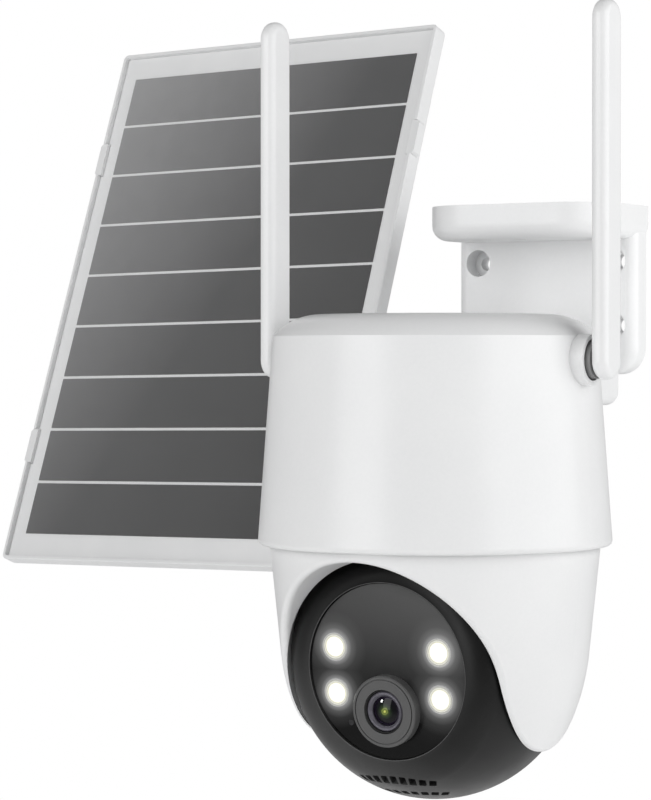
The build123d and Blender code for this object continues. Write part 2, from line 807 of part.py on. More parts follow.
# Fixed hollow axles; the right one also carries the gear that the tilt pinion climbs round.
gear_seat_radius = 5.5
with BuildPart() as tilt_axles:
    add(side_disc(-1, 36.0, inner_face + disc_thick, axle_radius, axle_bore))
    add(side_disc(1, tilt_gear_x + 2.2, inner_face + disc_thick, axle_radius, axle_bore))
    add(side_disc(1, tilt_gear_x - 2.4, tilt_gear_x + 2.2, gear_seat_radius, axle_bore))
    for side in (-1, 1):
        add(side_disc(side, inner_face + disc_thick, inner_face + disc_thick + 1.6, 10.0, axle_bore))
save(tilt_axles, "tilt_axles")

gear_centre = at(tilt_gear_x - tilt_gear_height / 2, 0, ball_height)
tilt_gear_plane = Plane(origin=gear_centre, x_dir=-look, z_dir=(1, 0, 0))
tilt_motor_plane = Plane(origin=gear_centre - look * tilt_centres, x_dir=-look, z_dir=(1, 0, 0))
with BuildPart() as tilt_gear:
    with BuildSketch(tilt_gear_plane):
        add(gear_face(tilt_teeth, 180 / tilt_teeth))
    extrude(amount=tilt_gear_height)
    with BuildSketch(tilt_gear_plane):
        Circle(gear_seat_radius)
    extrude(amount=tilt_gear_height, mode=Mode.SUBTRACT)
save(tilt_gear, "tilt_gear")

# ---------------------------------------------------------------- ball head
bush_outer = 9.0
motor_screw_pitch = 30.0
screw_seat = -12.0  # depth of the shell screws' heads behind the ball's centre plane
motor_shaft_radius = 1.5
flat_inside = ball_flat - ball_wall
window_recess = 29.55
gasket_back = 28.9
front_ledge = 26.3
window_opening = 26.4
bezel_sleeve = 10.9
bezel_radius = 11.9
bezel_front = 35.8
bezel_bore = 7.4
lens_spot = (0, -lens_drop)
led_spots = [(side * led_across, height) for side in (-1, 1) for height in led_heights]
sensor_spot = (-14.9, -18.1)
sensor_radius = 1.0
shell_screw_spots = [(x, y) for x in (-22, 22) for y in (-37.5, 37.5)]
speaker_angle = 20.0
speaker_direction = Vector(0, -sin(radians(speaker_angle)), -cos(radians(speaker_angle)))
grille_rows = ((35.0, 9), (24.0, 9))
grille_step = 4.03  # degrees along the ball between slots
grille_slot = (2.5, 3.6)

ball_solid = Pos(ball_centre) * (Sphere(ball_radius) & Box(2 * ball_flat, 120, 120))
ball_hollow = Pos(ball_centre) * (Sphere(ball_radius - ball_wall) & Box(2 * flat_inside, 120, 120))


def grille_plane(drop, swing):
    """Plane on the ball's underside, drop degrees forward of straight down, swung sideways."""
    middle = Vector(0, -sin(radians(drop)), -cos(radians(drop)))
    outward = middle.rotate(Axis.Z, swing)
    sideways = Vector(1, 0, 0).rotate(Axis.Z, swing)
    return Plane(origin=ball_centre + outward * (ball_radius - 8), x_dir=sideways, z_dir=outward)


def half_space(front):
    """Large block before or behind the plane through the ball's centre square to the line of sight."""
    with BuildSketch(ball_plane(0)) as outline:
        Rectangle(140, 140)
    return extrude(outline.sketch, amount=70 if front else -70, mode=Mode.PRIVATE)


with BuildPart() as front_hollow:
    add(ball_hollow)
    with BuildSketch(ball_plane(front_ledge)):
        Circle(60)
    extrude(amount=60, mode=Mode.SUBTRACT)

with BuildPart() as rear_bosses:
    with BuildSketch(ball_plane(0)):
        with Locations(*shell_screw_spots):
            Circle(shell_boss_radius)
    extrude(amount=-40)
    add(ball_solid, mode=Mode.INTERSECT)

with BuildPart() as ball_front_shell:
    add(ball_solid)
    with BuildSketch(ball_plane(face_front)):
        Circle(60)
    extrude(amount=30, mode=Mode.SUBTRACT)
    fillet(ball_front_shell.edges().filter_by(GeomType.CIRCLE).sort_by(Axis.Y)[0], face_round)
    add(half_space(False), mode=Mode.SUBTRACT)
    add(front_hollow.part, mode=Mode.SUBTRACT)
    with BuildSketch(ball_plane(front_ledge - 1)):
        Circle(window_opening)
    extrude(amount=10, mode=Mode.SUBTRACT)
    with BuildSketch(ball_plane(gasket_back)):
        Circle(window_recess)
    extrude(amount=10, mode=Mode.SUBTRACT)
    for side in (-1, 1):
        add(side_disc(side, flat_inside - 1, ball_flat + 1, bush_outer), mode=Mode.SUBTRACT)
    with BuildSketch(ball_plane(0)):
        with Locations(*shell_screw_spots):
            Circle(shell_boss_radius)
    extrude(amount=12)
    with BuildSketch(ball_plane(0)):
        with Locations(*shell_screw_spots):
            Circle(shell_screw_radius)
    extrude(amount=9, mode=Mode.SUBTRACT)
    for drop, count in grille_rows:
        for index in range(count):
            swing = (index - (count - 1) / 2) * grille_step / sin(radians(drop))
            with BuildSketch(grille_plane(drop, swing)):
                RectangleRounded(*grille_slot, 0.5)
            extrude(amount=12, mode=Mode.SUBTRACT)
save(ball_front_shell, "ball_front_shell")

with BuildPart() as ball_rear_shell:
    add(ball_solid)
    add(half_space(True), mode=Mode.SUBTRACT)
    add(ball_hollow, mode=Mode.SUBTRACT)
    for side in (-1, 1):
        add(side_disc(side, flat_inside - 1, ball_flat + 1, bush_outer), mode=Mode.SUBTRACT)
    add(rear_bosses.part)
    with BuildSketch(ball_plane(0)):
        with Locations(*shell_screw_spots):
            Circle(shell_screw_radius)
    extrude(amount=-30, mode=Mode.SUBTRACT)
    with BuildSketch(ball_plane(screw_seat)):
        with Locations(*shell_screw_spots):
            Circle(2.3)
    extrude(amount=-30, mode=Mode.SUBTRACT)
    with BuildSketch(tilt_motor_plane.offset(-1.5)):
        with GridLocations(0, motor_screw_pitch, 1, 2):
            Circle(2.5)
    extrude(amount=flat_inside + tilt_gear_height / 2 + 1.5 - tilt_gear_x)
save(ball_rear_shell, "ball_rear_shell")

with BuildPart() as ball_screws:
    with BuildSketch(ball_plane(screw_seat)):
        with Locations(*shell_screw_spots):
            Circle(2.1)
    extrude(amount=-1.6)
    with BuildSketch(ball_plane(screw_seat)):
        with Locations(*shell_screw_spots):
            Circle(shell_screw_radius)
    extrude(amount=20)
save(ball_screws, "ball_screws")

with BuildPart() as tilt_bushes:
    for side in (-1, 1):
        add(side_disc(side, flat_inside - 1.2, flat_inside, 11.0, axle_radius + running_gap))
        add(side_disc(side, flat_inside, ball_flat, bush_outer, axle_radius + running_gap))
save(tilt_bushes, "tilt_bushes")

with BuildPart() as tilt_pinion:
    with BuildSketch(tilt_motor_plane):
        add(gear_face(tilt_pinion_teeth, 180))
    extrude(amount=tilt_gear_height)
    with BuildSketch(tilt_motor_plane):
        Circle(motor_shaft_radius)
    extrude(amount=-6)
save(tilt_pinion, "tilt_pinion")

with BuildPart() as tilt_motor:
    with BuildSketch(tilt_motor_plane.offset(-2.0)):
        Circle(11.0)
    extrude(amount=-15)
    fillet(tilt_motor.edges().sort_by(Axis.X)[0], 1)
    with BuildSketch(tilt_motor_plane.offset(-1.5)):
        SlotCenterToCenter(motor_screw_pitch, 6, rotation=90)
    extrude(amount=-1.0)
    with BuildSketch(tilt_motor_plane):
        Circle(motor_shaft_radius + running_gap)
    extrude(amount=-7, mode=Mode.SUBTRACT)
save(tilt_motor, "tilt_motor")

# ---------------------------------------------------------------- camera front
with BuildPart() as window_gasket:
    with BuildSketch(ball_plane(gasket_back)):
        Circle(window_radius)
        Circle(27.2, mode=Mode.SUBTRACT)
    extrude(amount=window_front - window_thick - gasket_back)
save(window_gasket, "window_gasket")

with BuildPart() as front_window:
    with BuildSketch(ball_plane(window_front)):
        Circle(window_radius)
        with Locations(lens_spot):
            Circle(bezel_sleeve, mode=Mode.SUBTRACT)
        with Locations(*led_spots):
            Circle(led_radius, mode=Mode.SUBTRACT)
        with Locations(sensor_spot):
            Circle(sensor_radius, mode=Mode.SUBTRACT)
    extrude(amount=-window_thick)
save(front_window, "front_window")

with BuildPart() as lens_bezel:
    with BuildSketch(ball_plane(window_front)):
        with Locations(lens_spot):
            Circle(bezel_radius)
    extrude(amount=bezel_front - window_front)
    bezel_nose = lens_bezel.faces().sort_by(Axis.Y)[0].edges()
    chamfer(bezel_nose, 0.35)
    with BuildSketch(ball_plane(bezel_front)):
        with Locations(lens_spot):
            Circle(bezel_sleeve)
            Circle(bezel_sleeve - 0.35, mode=Mode.SUBTRACT)
    extrude(amount=-0.4, mode=Mode.SUBTRACT)
    with BuildSketch(ball_plane(window_front)):
        with Locations(lens_spot):
            Circle(bezel_sleeve)
    extrude(amount=-window_thick - 0.8)
    with BuildSketch(ball_plane(window_front - 10)):
        with Locations(lens_spot):
            Circle(bezel_bore)
    extrude(amount=20, mode=Mode.SUBTRACT)
save(lens_bezel, "lens_bezel")

board_depth = 8.0  # depths in front of the ball's centre
board_front = 9.6
barrel_start = 13.0
barrel_end = 35.1
lens_barrel_radius = 6.7
glass_radius = 5.0
with BuildPart() as lens_barrel:
    with BuildSketch(ball_plane(barrel_start)):
        with Locations(lens_spot):
            Circle(lens_barrel_radius)
    extrude(amount=barrel_end - barrel_start)
    with BuildSketch(ball_plane(barrel_end)):
        with Locations(lens_spot):
            Circle(glass_radius)
    extrude(amount=barrel_start - barrel_end, mode=Mode.SUBTRACT)
    mouth = lens_barrel.faces().sort_by(Axis.Y)[0].edges().sort_by(SortBy.RADIUS)
    chamfer(mouth[0], 0.7)
    chamfer(mouth[-1], 0.4)
save(lens_barrel, "lens_barrel")

dome_radius = 9.0
glass_back = 29.3
with BuildPart() as lens_glass:
    with BuildSketch(ball_plane(glass_back)):
        with Locations(lens_spot):
            Circle(glass_radius)
    extrude(amount=barrel_end - glass_back)
    dome_plane = ball_plane(barrel_end - 0.1 - dome_radius)
    dome_spot = dome_plane.from_local_coords(Vector(0, -lens_drop, 0))
    add(Pos(dome_spot) * Sphere(dome_radius), mode=Mode.INTERSECT)
save(lens_glass, "lens_glass")

with BuildPart() as sensor_board:
    with BuildSketch(ball_plane(board_depth)):
        with Locations((0, -10)):
            Rectangle(30, 34)
    extrude(amount=board_front - board_depth)
    with BuildSketch(ball_plane(board_front)):
        with Locations(lens_spot):
            Rectangle(17, 17)
            Rectangle(9, 9, mode=Mode.SUBTRACT)
    extrude(amount=barrel_start - board_front)
    with BuildSketch(ball_plane(barrel_start)):
        with Locations(lens_spot):
            Rectangle(17, 17)
            Circle(lens_barrel_radius, mode=Mode.SUBTRACT)
    extrude(amount=5)
    with BuildSketch(ball_plane(board_front)):
        with Locations(lens_spot):
            Rectangle(7, 6)
    extrude(amount=0.9)
save(sensor_board, "sensor_board")

led_board_foot = 25.4
led_board_face = led_board_foot + 1.6
emitter_face = led_board_face + 0.8
with BuildPart() as led_board:
    with BuildSketch(ball_plane(led_board_foot)):
        Circle(25.6)
        with Locations(lens_spot):
            Circle(11.4, mode=Mode.SUBTRACT)
    extrude(amount=led_board_face - led_board_foot)
    with BuildSketch(ball_plane(led_board_face)):
        with Locations(*led_spots):
            Rectangle(3.5, 3.5)
    extrude(amount=emitter_face - led_board_face)
save(led_board, "led_board")

with BuildPart() as led_lenses:
    with BuildSketch(ball_plane(emitter_face)):
        with Locations(*led_spots):
            Circle(led_radius)
    extrude(amount=window_front + 0.2 - emitter_face)
    fillet(led_lenses.edges().filter_by(GeomType.CIRCLE).group_by(Axis(ball_centre, tuple(look)))[-1], 0.15)
save(led_lenses, "led_lenses")

with BuildPart() as light_sensor:
    with BuildSketch(ball_plane(led_board_face)):
        with Locations(sensor_spot):
            Circle(sensor_radius)
    extrude(amount=window_front - 0.1 - led_board_face)
save(light_sensor, "light_sensor")

speaker_centre = ball_centre + speaker_direction * 37
speaker_plane = Plane(origin=speaker_centre, x_dir=(1, 0, 0), z_dir=speaker_direction)
with BuildPart() as speaker:
    with BuildSketch(speaker_plane):
        Circle(9.4)
    extrude(amount=4)
    with BuildSketch(speaker_plane):
        Circle(6)
    extrude(amount=-3)
save(speaker, "speaker")

# ---------------------------------------------------------------- antennas
half_thick = antenna_thick / 2
blade_inner = antenna_x - half_thick
hub_inner = 56.1
for side, hand in ((-1, "left"), (1, "right")):
    with BuildPart() as blade:
        with BuildSketch(facing_x(side * blade_inner, (antenna_tip - antenna_wide / 2) / 2)):
            SlotCenterToCenter(antenna_tip - antenna_wide / 2, antenna_wide, rotation=90)
        extrude(amount=side * antenna_thick)
        fillet(blade.faces().sort_by(Axis.X)[0].edges() + blade.faces().sort_by(Axis.X)[-1].edges(), 2.6)
    save(blade, f"antenna_{hand}")

    with BuildPart() as hub:
        with BuildSketch(facing_x(side * blade_inner)):
            Circle(hub_radius)
        extrude(amount=side * (hub_inner - blade_inner))
        with BuildSketch(facing_x(side * hub_inner)):
            Circle(stem_radius)
        extrude(amount=side * -8)
        with BuildSketch(facing_x(side * 49.4)):
            Circle(stem_radius + 0.8)
        extrude(amount=side * -1.2)
    save(hub, f"antenna_hub_{hand}")

# ---------------------------------------------------------------- panel support
with BuildPart() as swivel_knuckle:
    with BuildSketch(pivot_plane(barrel_top + 0.3)):
        Circle(barrel_radius)
    extrude(amount=3.7)
    with BuildSketch(hinge_plane(0)):
        with BuildLine():
            ear_arc = CenterArc((0, 0), ear_radius, -90, 180)
            Polyline(ear_arc @ 1, (barrel_top + 0.3, ear_radius), (barrel_top + 0.3, -ear_radius),
                     ear_arc @ 0)
        make_face()
    extrude(amount=ear_outside, both=True)
    with BuildSketch(hinge_plane(0)):
        with Locations((-0.5, 0)):
            Rectangle(17, 40)
        with Locations((8.5, 0)):
            Rectangle(4, 40)
    extrude(amount=ear_inside, both=True, mode=Mode.SUBTRACT)
    with BuildSketch(hinge_plane(0)):
        Circle(tilt_pin_radius)
    extrude(amount=20, both=True, mode=Mode.SUBTRACT)
    with BuildSketch(pivot_plane(barrel_top + 0.3)):
        Circle(swivel_radius)
    extrude(amount=barrel_foot - barrel_top - 0.6)
    with BuildSketch(pivot_plane(barrel_foot - 0.3)):
        Circle(3.0)
    extrude(amount=-4.0)
save(swivel_knuckle, "swivel_knuckle")

with BuildPart() as clamp_fasteners:
    with BuildSketch(pivot_plane(barrel_foot - 0.3)):
        RegularPolygon(7.5, 6)
        Circle(3.0, mode=Mode.SUBTRACT)
    extrude(amount=-3.2)
    with BuildSketch(hinge_plane(-ear_outside)):
        RegularPolygon(5.0, 6)
    extrude(amount=-3)
    with BuildSketch(hinge_plane(-ear_outside)):
        Circle(tilt_pin_radius)
    extrude(amount=2 * ear_outside + 8)
save(clamp_fasteners, "clamp_fasteners")

knob_radius = 9.0
with BuildPart() as tilt_knob:
    with BuildSketch(hinge_plane(ear_outside)):
        Circle(6)
    extrude(amount=2)
    with BuildSketch(hinge_plane(ear_outside + 2)):
        Circle(knob_radius - 1)
        with PolarLocations(knob_radius - 1.6, 6):
            Circle(2.4)
    extrude(amount=7)
    with BuildSketch(hinge_plane(ear_outside)):
        Circle(tilt_pin_radius)
    extrude(amount=8, mode=Mode.SUBTRACT)
save(tilt_knob, "tilt_knob")


def behind_panel(distance):
    """Plane parallel to the panel, facing it, a distance in front of the tilt pivot."""
    return Plane(origin=pivot + panel_normal * distance, x_dir=panel_plane.x_dir, z_dir=panel_normal)


eye_radius = 7.0
with BuildPart() as tilt_head:
    with BuildSketch(hinge_plane(0)):
        Circle(eye_radius)
    extrude(amount=ear_inside - 0.3, both=True)
    with BuildSketch(behind_panel(0)):
        Rectangle(2 * (ear_inside - 0.3), 9)
    extrude(amount=head_inner)
    with BuildSketch(behind_panel(head_inner)):
        Circle(14)
    extrude(amount=head_outer - head_inner)
    with BuildSketch(hinge_plane(0)):
        Circle(tilt_pin_radius + running_gap)
    extrude(amount=20, both=True, mode=Mode.SUBTRACT)
    with BuildSketch(behind_panel(head_outer)):
        Circle(panel_stud_radius)
    extrude(amount=6)
save(tilt_head, "tilt_head")

with BuildPart() as panel_boss:
    with BuildSketch(behind_panel(head_outer)):
        Circle(22)
        Circle(panel_stud_radius, mode=Mode.SUBTRACT)
        with PolarLocations(boss_screw_ring, 4, start_angle=45):
            Circle(boss_screw_radius, mode=Mode.SUBTRACT)
    extrude(amount=stand_off - head_outer)
save(panel_boss, "panel_boss")

with BuildPart() as boss_screws:
    with BuildSketch(behind_panel(head_outer)):
        with PolarLocations(boss_screw_ring, 4, start_angle=45):
            Circle(2.4)
    extrude(amount=-1.5)
    with BuildSketch(behind_panel(head_outer)):
        with PolarLocations(boss_screw_ring, 4, start_angle=45):
            Circle(boss_screw_radius)
    extrude(amount=stand_off - head_outer + 2)
save(boss_screws, "boss_screws")

# ---------------------------------------------------------------- solar panel
lip = 1.3
panel_corner = 2.0
sheet_corner = 1.0
sheet_back = 3.6
sheet_front = 2.0
cell_face = 1.6
glass_face = 0.3
glass_back_face = 1.55
back_cover_thick = 2.0
opening_width = 141.0
opening_height = 201.0
clip_length = 14.0
clip_height = 62.0
sheet_width = panel_width - 2 * lip
sheet_height = panel_height - 2 * lip
clip_wide = 3.4
clip_reach = panel_width / 2 + 1.0 - clip_wide / 2
clip_spots = [(x, y) for x in (-clip_reach, clip_reach) for y in (-clip_height, clip_height)]
clip_front = 0.5  # depths behind the panel's front face
clip_back = 4.6

with BuildPart() as panel_frame:
    with BuildSketch(panel_plane.offset(-panel_thick)):
        RectangleRounded(panel_width, panel_height, panel_corner)
    extrude(amount=panel_thick)
    across_faces = panel_frame.faces().sort_by(Axis(panel_origin, tuple(panel_normal)))
    fillet(across_faces[0].edges(), panel_corner - 0.2)
    fillet(across_faces[-1].edges(), 0.5)
    with BuildSketch(panel_plane.offset(-sheet_back)):
        RectangleRounded(sheet_width, sheet_height, sheet_corner)
    extrude(amount=sheet_back, mode=Mode.SUBTRACT)
    with BuildSketch(panel_plane.offset(-panel_thick)):
        RectangleRounded(opening_width, opening_height, 3)
    extrude(amount=panel_thick, mode=Mode.SUBTRACT)
    with BuildSketch(panel_plane.offset(-panel_thick)):
        RectangleRounded(opening_width + 6, opening_height + 6, 4)
    extrude(amount=back_cover_thick, mode=Mode.SUBTRACT)
    with BuildSketch(panel_plane):
        with Locations(*clip_spots):
            Rectangle(clip_wide, clip_length)
    extrude(amount=-clip_back, mode=Mode.SUBTRACT)
save(panel_frame, "panel_frame")

with BuildPart() as panel_clips:
    with BuildSketch(panel_plane.offset(-clip_front)):
        with Locations(*clip_spots):
            Rectangle(clip_wide, clip_length - 0.2)
        chamfer(vertices().group_by(Axis.X)[0] + vertices().group_by(Axis.X)[-1], 0.9)
    extrude(amount=clip_front - clip_back)
save(panel_clips, "panel_clips")

with BuildPart() as panel_back:
    with BuildSketch(panel_plane.offset(-panel_thick)):
        RectangleRounded(opening_width + 5.8, opening_height + 5.8, 4)
        with PolarLocations(boss_screw_ring, 4, start_angle=45):
            Circle(boss_screw_radius, mode=Mode.SUBTRACT)
        Circle(panel_stud_radius, mode=Mode.SUBTRACT)
    extrude(amount=back_cover_thick)
save(panel_back, "panel_back")

with BuildPart() as panel_backsheet:
    with BuildSketch(panel_plane.offset(-sheet_back)):
        RectangleRounded(sheet_width - 0.2, sheet_height - 0.2, sheet_corner - 0.1)
        with Locations(*clip_spots):
            Rectangle(clip_wide + 0.2, clip_length + 0.2, mode=Mode.SUBTRACT)
    extrude(amount=sheet_back - sheet_front)
save(panel_backsheet, "panel_backsheet")

strip_height = (cell_field_height - (strip_count - 1) * strip_gap) / strip_count
with BuildPart() as solar_cells:
    with BuildSketch(panel_plane.offset(-sheet_front)):
        with GridLocations(0, strip_height + strip_gap, 1, strip_count):
            Rectangle(cell_field_width, strip_height)
    extrude(amount=sheet_front - cell_face)
save(solar_cells, "solar_cells")

with BuildPart() as panel_glass:
    with BuildSketch(panel_plane.offset(-glass_back_face)):
        RectangleRounded(sheet_width - 0.2, sheet_height - 0.2, sheet_corner - 0.1)
        with Locations(*clip_spots):
            Rectangle(clip_wide + 0.2, clip_length + 0.2, mode=Mode.SUBTRACT)
    extrude(amount=glass_back_face - glass_face)
save(panel_glass, "panel_glass")

box_spot = (0, -62)
with BuildPart() as junction_box:
    with BuildSketch(panel_plane.offset(-panel_thick)):
        with Locations(box_spot):
            RectangleRounded(48, 36, 4)
    extrude(amount=-11)
    fillet(junction_box.faces().sort_by(Axis(panel_origin, tuple(panel_normal)))[0].edges(), 2)
save(junction_box, "junction_box")

gland_plane = Plane(origin=panel_plane.from_local_coords(Vector(0, box_spot[1] - 18, -panel_thick - 5.5)),
                    x_dir=panel_plane.x_dir, z_dir=-panel_plane.y_dir)
with BuildPart() as cable_gland:
    with BuildSketch(gland_plane):
        RegularPolygon(4.8, 6)
    extrude(amount=4)
    with BuildSketch(gland_plane.offset(4)):
        Circle(4.2)
    extrude(amount=7)
    fillet(cable_gland.faces().sort_by(Axis(gland_plane.origin, tuple(gland_plane.z_dir)))[-1].edges(), 1)
    with BuildSketch(gland_plane):
        Circle(2.2)
    extrude(amount=12, mode=Mode.SUBTRACT)
save(cable_gland, "cable_gland")
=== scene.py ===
"""Looks of the solar-powered pan-and-tilt camera: finishes, fine trim, studio and camera.

Metres, in the part's own frame: +Z up, +Y into the wall. The head looks along -Y.
"""

import json
import math

import bmesh
import bpy
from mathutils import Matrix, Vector


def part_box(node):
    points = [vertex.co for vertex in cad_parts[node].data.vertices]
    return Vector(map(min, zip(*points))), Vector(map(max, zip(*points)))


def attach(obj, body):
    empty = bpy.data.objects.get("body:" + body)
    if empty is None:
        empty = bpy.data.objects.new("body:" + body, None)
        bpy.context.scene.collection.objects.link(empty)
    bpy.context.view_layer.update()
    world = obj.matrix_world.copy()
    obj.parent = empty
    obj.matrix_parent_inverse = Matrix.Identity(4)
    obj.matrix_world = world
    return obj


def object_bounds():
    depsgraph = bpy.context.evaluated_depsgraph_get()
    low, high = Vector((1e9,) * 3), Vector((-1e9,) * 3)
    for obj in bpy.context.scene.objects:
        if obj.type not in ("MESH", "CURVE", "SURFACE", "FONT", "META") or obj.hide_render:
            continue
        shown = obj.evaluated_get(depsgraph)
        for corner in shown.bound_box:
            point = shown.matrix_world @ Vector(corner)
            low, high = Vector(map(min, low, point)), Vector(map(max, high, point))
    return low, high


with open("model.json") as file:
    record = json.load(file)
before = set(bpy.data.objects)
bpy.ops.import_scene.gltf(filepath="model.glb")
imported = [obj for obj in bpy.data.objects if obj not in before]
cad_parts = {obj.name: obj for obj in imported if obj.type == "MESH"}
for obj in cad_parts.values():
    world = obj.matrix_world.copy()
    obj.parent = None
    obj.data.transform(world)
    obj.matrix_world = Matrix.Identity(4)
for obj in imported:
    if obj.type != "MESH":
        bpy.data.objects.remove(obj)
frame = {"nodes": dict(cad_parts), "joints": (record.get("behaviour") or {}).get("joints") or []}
nodes = frame["nodes"]
cad_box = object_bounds()
MM = 0.001
SPARK = 0.35 * MM  # grain of a spark-eroded mould
FLOW = 45 * MM  # broad tone changes of moulded plastic
FLECK = 1.1 * MM  # its small ones
GLOSS = 9 * MM  # its patches of uneven gloss
RING_PITCH = 0.22 * MM  # turned rings of the lens barrel
FINGER_PITCH = 1.5 * MM  # silver fingers of the solar cells
LAMP_GLOW = 2.6  # emission strength at the core of a lamp


# ---------------------------------------------------------------- places, all read from the frame
def middle(node):
    """Centre of a CAD node's box."""
    low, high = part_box(node)
    return (low + high) / 2


def anchor(name):
    """Anchor point of a joint, at rest."""
    joint = next(j for j in frame["joints"] if j["name"] == name)
    return Vector(joint["pos_m"])


hinge = middle("antenna_hub_right")
pan_axis = Vector((0.0, middle("housing_seal").y, hinge.z))
ball_centre = anchor("tilt")
window_middle = middle("front_window")
look = (window_middle - ball_centre).normalized()
window_radius = (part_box("front_window")[1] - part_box("front_window")[0]).x / 2
lamp_radius = 4.85 * MM
barrel_bore = 7.05 * MM  # where the barrel's stop ring sits


# ---------------------------------------------------------------- building a finish
def grey(value):
    return (value, value, value)


def colour_ramp(tree, source, stops):
    """Colours along a factor, as (place, (r, g, b)) stops."""
    ramp = tree.nodes.new("ShaderNodeValToRGB")
    elements = ramp.color_ramp.elements
    while len(elements) < len(stops):
        elements.new(0.5)
    for element, (spot, colour) in zip(elements, stops):
        element.position = spot
        element.color = (*colour, 1.0)
    tree.links.new(source, ramp.inputs["Fac"])
    return ramp.outputs["Color"]


class Surface:
    """One node material: a Principled shader whose constants are set on its own sockets."""

    def __init__(self, name, settings):
        self.material = bpy.data.materials.new("finish_" + name)
        self.material.use_nodes = True
        self.tree = self.material.node_tree
        self.shader = self.tree.nodes["Principled BSDF"]
        self.normal = None
        for socket, value in settings.items():
            self.shader.inputs[socket].default_value = value
        self.place = self.node("ShaderNodeTexCoord").outputs["Object"]

    def node(self, kind):
        return self.tree.nodes.new(kind)

    def link(self, source, target):
        self.tree.links.new(source, target)

    def into(self, socket, source):
        """Feed one of the shader's sockets."""
        self.link(source, self.shader.inputs[socket])

    def mapped(self, scale):
        """Object coordinates, stretched."""
        mapping = self.node("ShaderNodeMapping")
        mapping.inputs["Scale"].default_value = scale
        self.link(self.place, mapping.inputs["Vector"])
        return mapping.outputs["Vector"]

    def noise(self, size, detail=2.0, place=None):
        """Noise whose features are about one size across, in metres."""
        texture = self.node("ShaderNodeTexNoise")
        texture.inputs["Scale"].default_value = 1.0 / size
        texture.inputs["Detail"].default_value = detail
        self.link(place or self.place, texture.inputs["Vector"])
        return texture.outputs["Fac"]

    def cells(self, size):
        """Distance to the borders of an irregular mosaic whose cells are about one size across."""
        texture = self.node("ShaderNodeTexVoronoi")
        texture.feature = "DISTANCE_TO_EDGE"
        texture.inputs["Scale"].default_value = 1.0 / size
        self.link(self.place, texture.inputs["Vector"])
        return texture.outputs["Distance"]

    def remap(self, source, low, high, from_low=0.3, from_high=0.7):
        """A factor taken to a new range."""
        span = self.node("ShaderNodeMapRange")
        span.inputs["From Min"].default_value = from_low
        span.inputs["From Max"].default_value = from_high
        span.inputs["To Min"].default_value = low
        span.inputs["To Max"].default_value = high
        self.link(source, span.inputs["Value"])
        return span.outputs["Result"]

    def ramp(self, source, stops):
        return colour_ramp(self.tree, source, stops)

    def mix(self, factor, first, second, blend="MIX"):
        """Two colours blended by a fixed share."""
        mix = self.node("ShaderNodeMix")
        mix.data_type = "RGBA"
        mix.blend_type = blend
        mix.inputs["Factor"].default_value = factor
        self.link(first, mix.inputs["A"])
        self.link(second, mix.inputs["B"])
        return mix.outputs["Result"]

    def math(self, operation, first, second=None):
        """A Math node; either input may be a number."""
        sums = self.node("ShaderNodeMath")
        sums.operation = operation
        for socket, value in zip(sums.inputs, (first, second)):
            if value is None:
                continue
            if isinstance(value, (int, float)):
                socket.default_value = value
            else:
                self.link(value, socket)
        return sums.outputs["Value"]

    def vector_math(self, operation, first, second=None):
        """A Vector Math node on a linked vector and, where it needs one, a fixed vector."""
        sums = self.node("ShaderNodeVectorMath")
        sums.operation = operation
        self.link(first, sums.inputs[0])
        if second is not None:
            sums.inputs[1].default_value = second
        return sums

    def along(self, origin, direction):
        """Signed distance from a point along a direction, in metres."""
        offset = self.vector_math("SUBTRACT", self.place, origin).outputs["Vector"]
        return self.vector_math("DOT_PRODUCT", offset, direction).outputs["Value"]

    def radius(self, origin, axis):
        """Distance from a line, in metres."""
        offset = self.vector_math("SUBTRACT", self.place, origin).outputs["Vector"]
        across = self.vector_math("CROSS_PRODUCT", offset, axis).outputs["Vector"]
        return self.vector_math("LENGTH", across).outputs["Value"]

    def blend_out(self, factor, first, second):
        """Sends a blend of two shader nodes to the material's output."""
        blend = self.node("ShaderNodeMixShader")
        self.link(factor, blend.inputs["Fac"])
        self.link(first.outputs["BSDF"], blend.inputs[1])
        self.link(second.outputs["BSDF"], blend.inputs[2])
        self.link(blend.outputs["Shader"], self.tree.nodes["Material Output"].inputs["Surface"])

    def bump(self, height, depth, strength=1.0):
        """Adds relief of a real depth, in metres, on top of any before it."""
        bump = self.node("ShaderNodeBump")
        bump.inputs["Distance"].default_value = depth
        bump.inputs["Strength"].default_value = strength
        self.link(height, bump.inputs["Height"])
        if self.normal:
            self.link(self.normal, bump.inputs["Normal"])
        self.normal = bump.outputs["Normal"]
        self.into("Normal", self.normal)


def lamp_spots():
    """Centres of the four lamp lenses, from the corners of their common box."""
    low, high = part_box("led_lenses")
    spots = []
    for x in (low.x + lamp_radius, high.x - lamp_radius):
        for z in (low.z + lamp_radius, high.z - lamp_radius):
            spots.append(Vector((x, middle("led_lenses").y, z)))
    return spots


def nearest_lamp(s):
    """Distance across the window to the nearest lamp's axis, in metres."""
    nearest = None
    for spot in lamp_spots():
        distance = s.radius(spot, look)
        nearest = distance if nearest is None else s.math("MINIMUM", nearest, distance)
    return nearest


# ---------------------------------------------------------------- finishes
def moulded(name, dark, light, rough, relief=0.006 * MM):
    """Moulded plastic: a fine spark texture, faint flow marks and uneven gloss."""
    s = Surface(name, {"IOR": 1.49})
    flow = s.noise(FLOW, 3.0)
    fleck = s.noise(FLECK, 2.0)
    stops = [(0.3, dark), (0.7, light)]
    tone = s.mix(0.3, s.ramp(flow, stops), s.ramp(fleck, stops))
    s.into("Base Color", tone)
    s.into("Roughness", s.remap(s.noise(GLOSS, 4.0), rough - 0.03, rough + 0.04))
    s.bump(s.noise(SPARK, 2.0), relief)
    return s.material


def white_shell():
    return moulded("white_shell", (0.80, 0.805, 0.81), (0.845, 0.848, 0.85), 0.31)


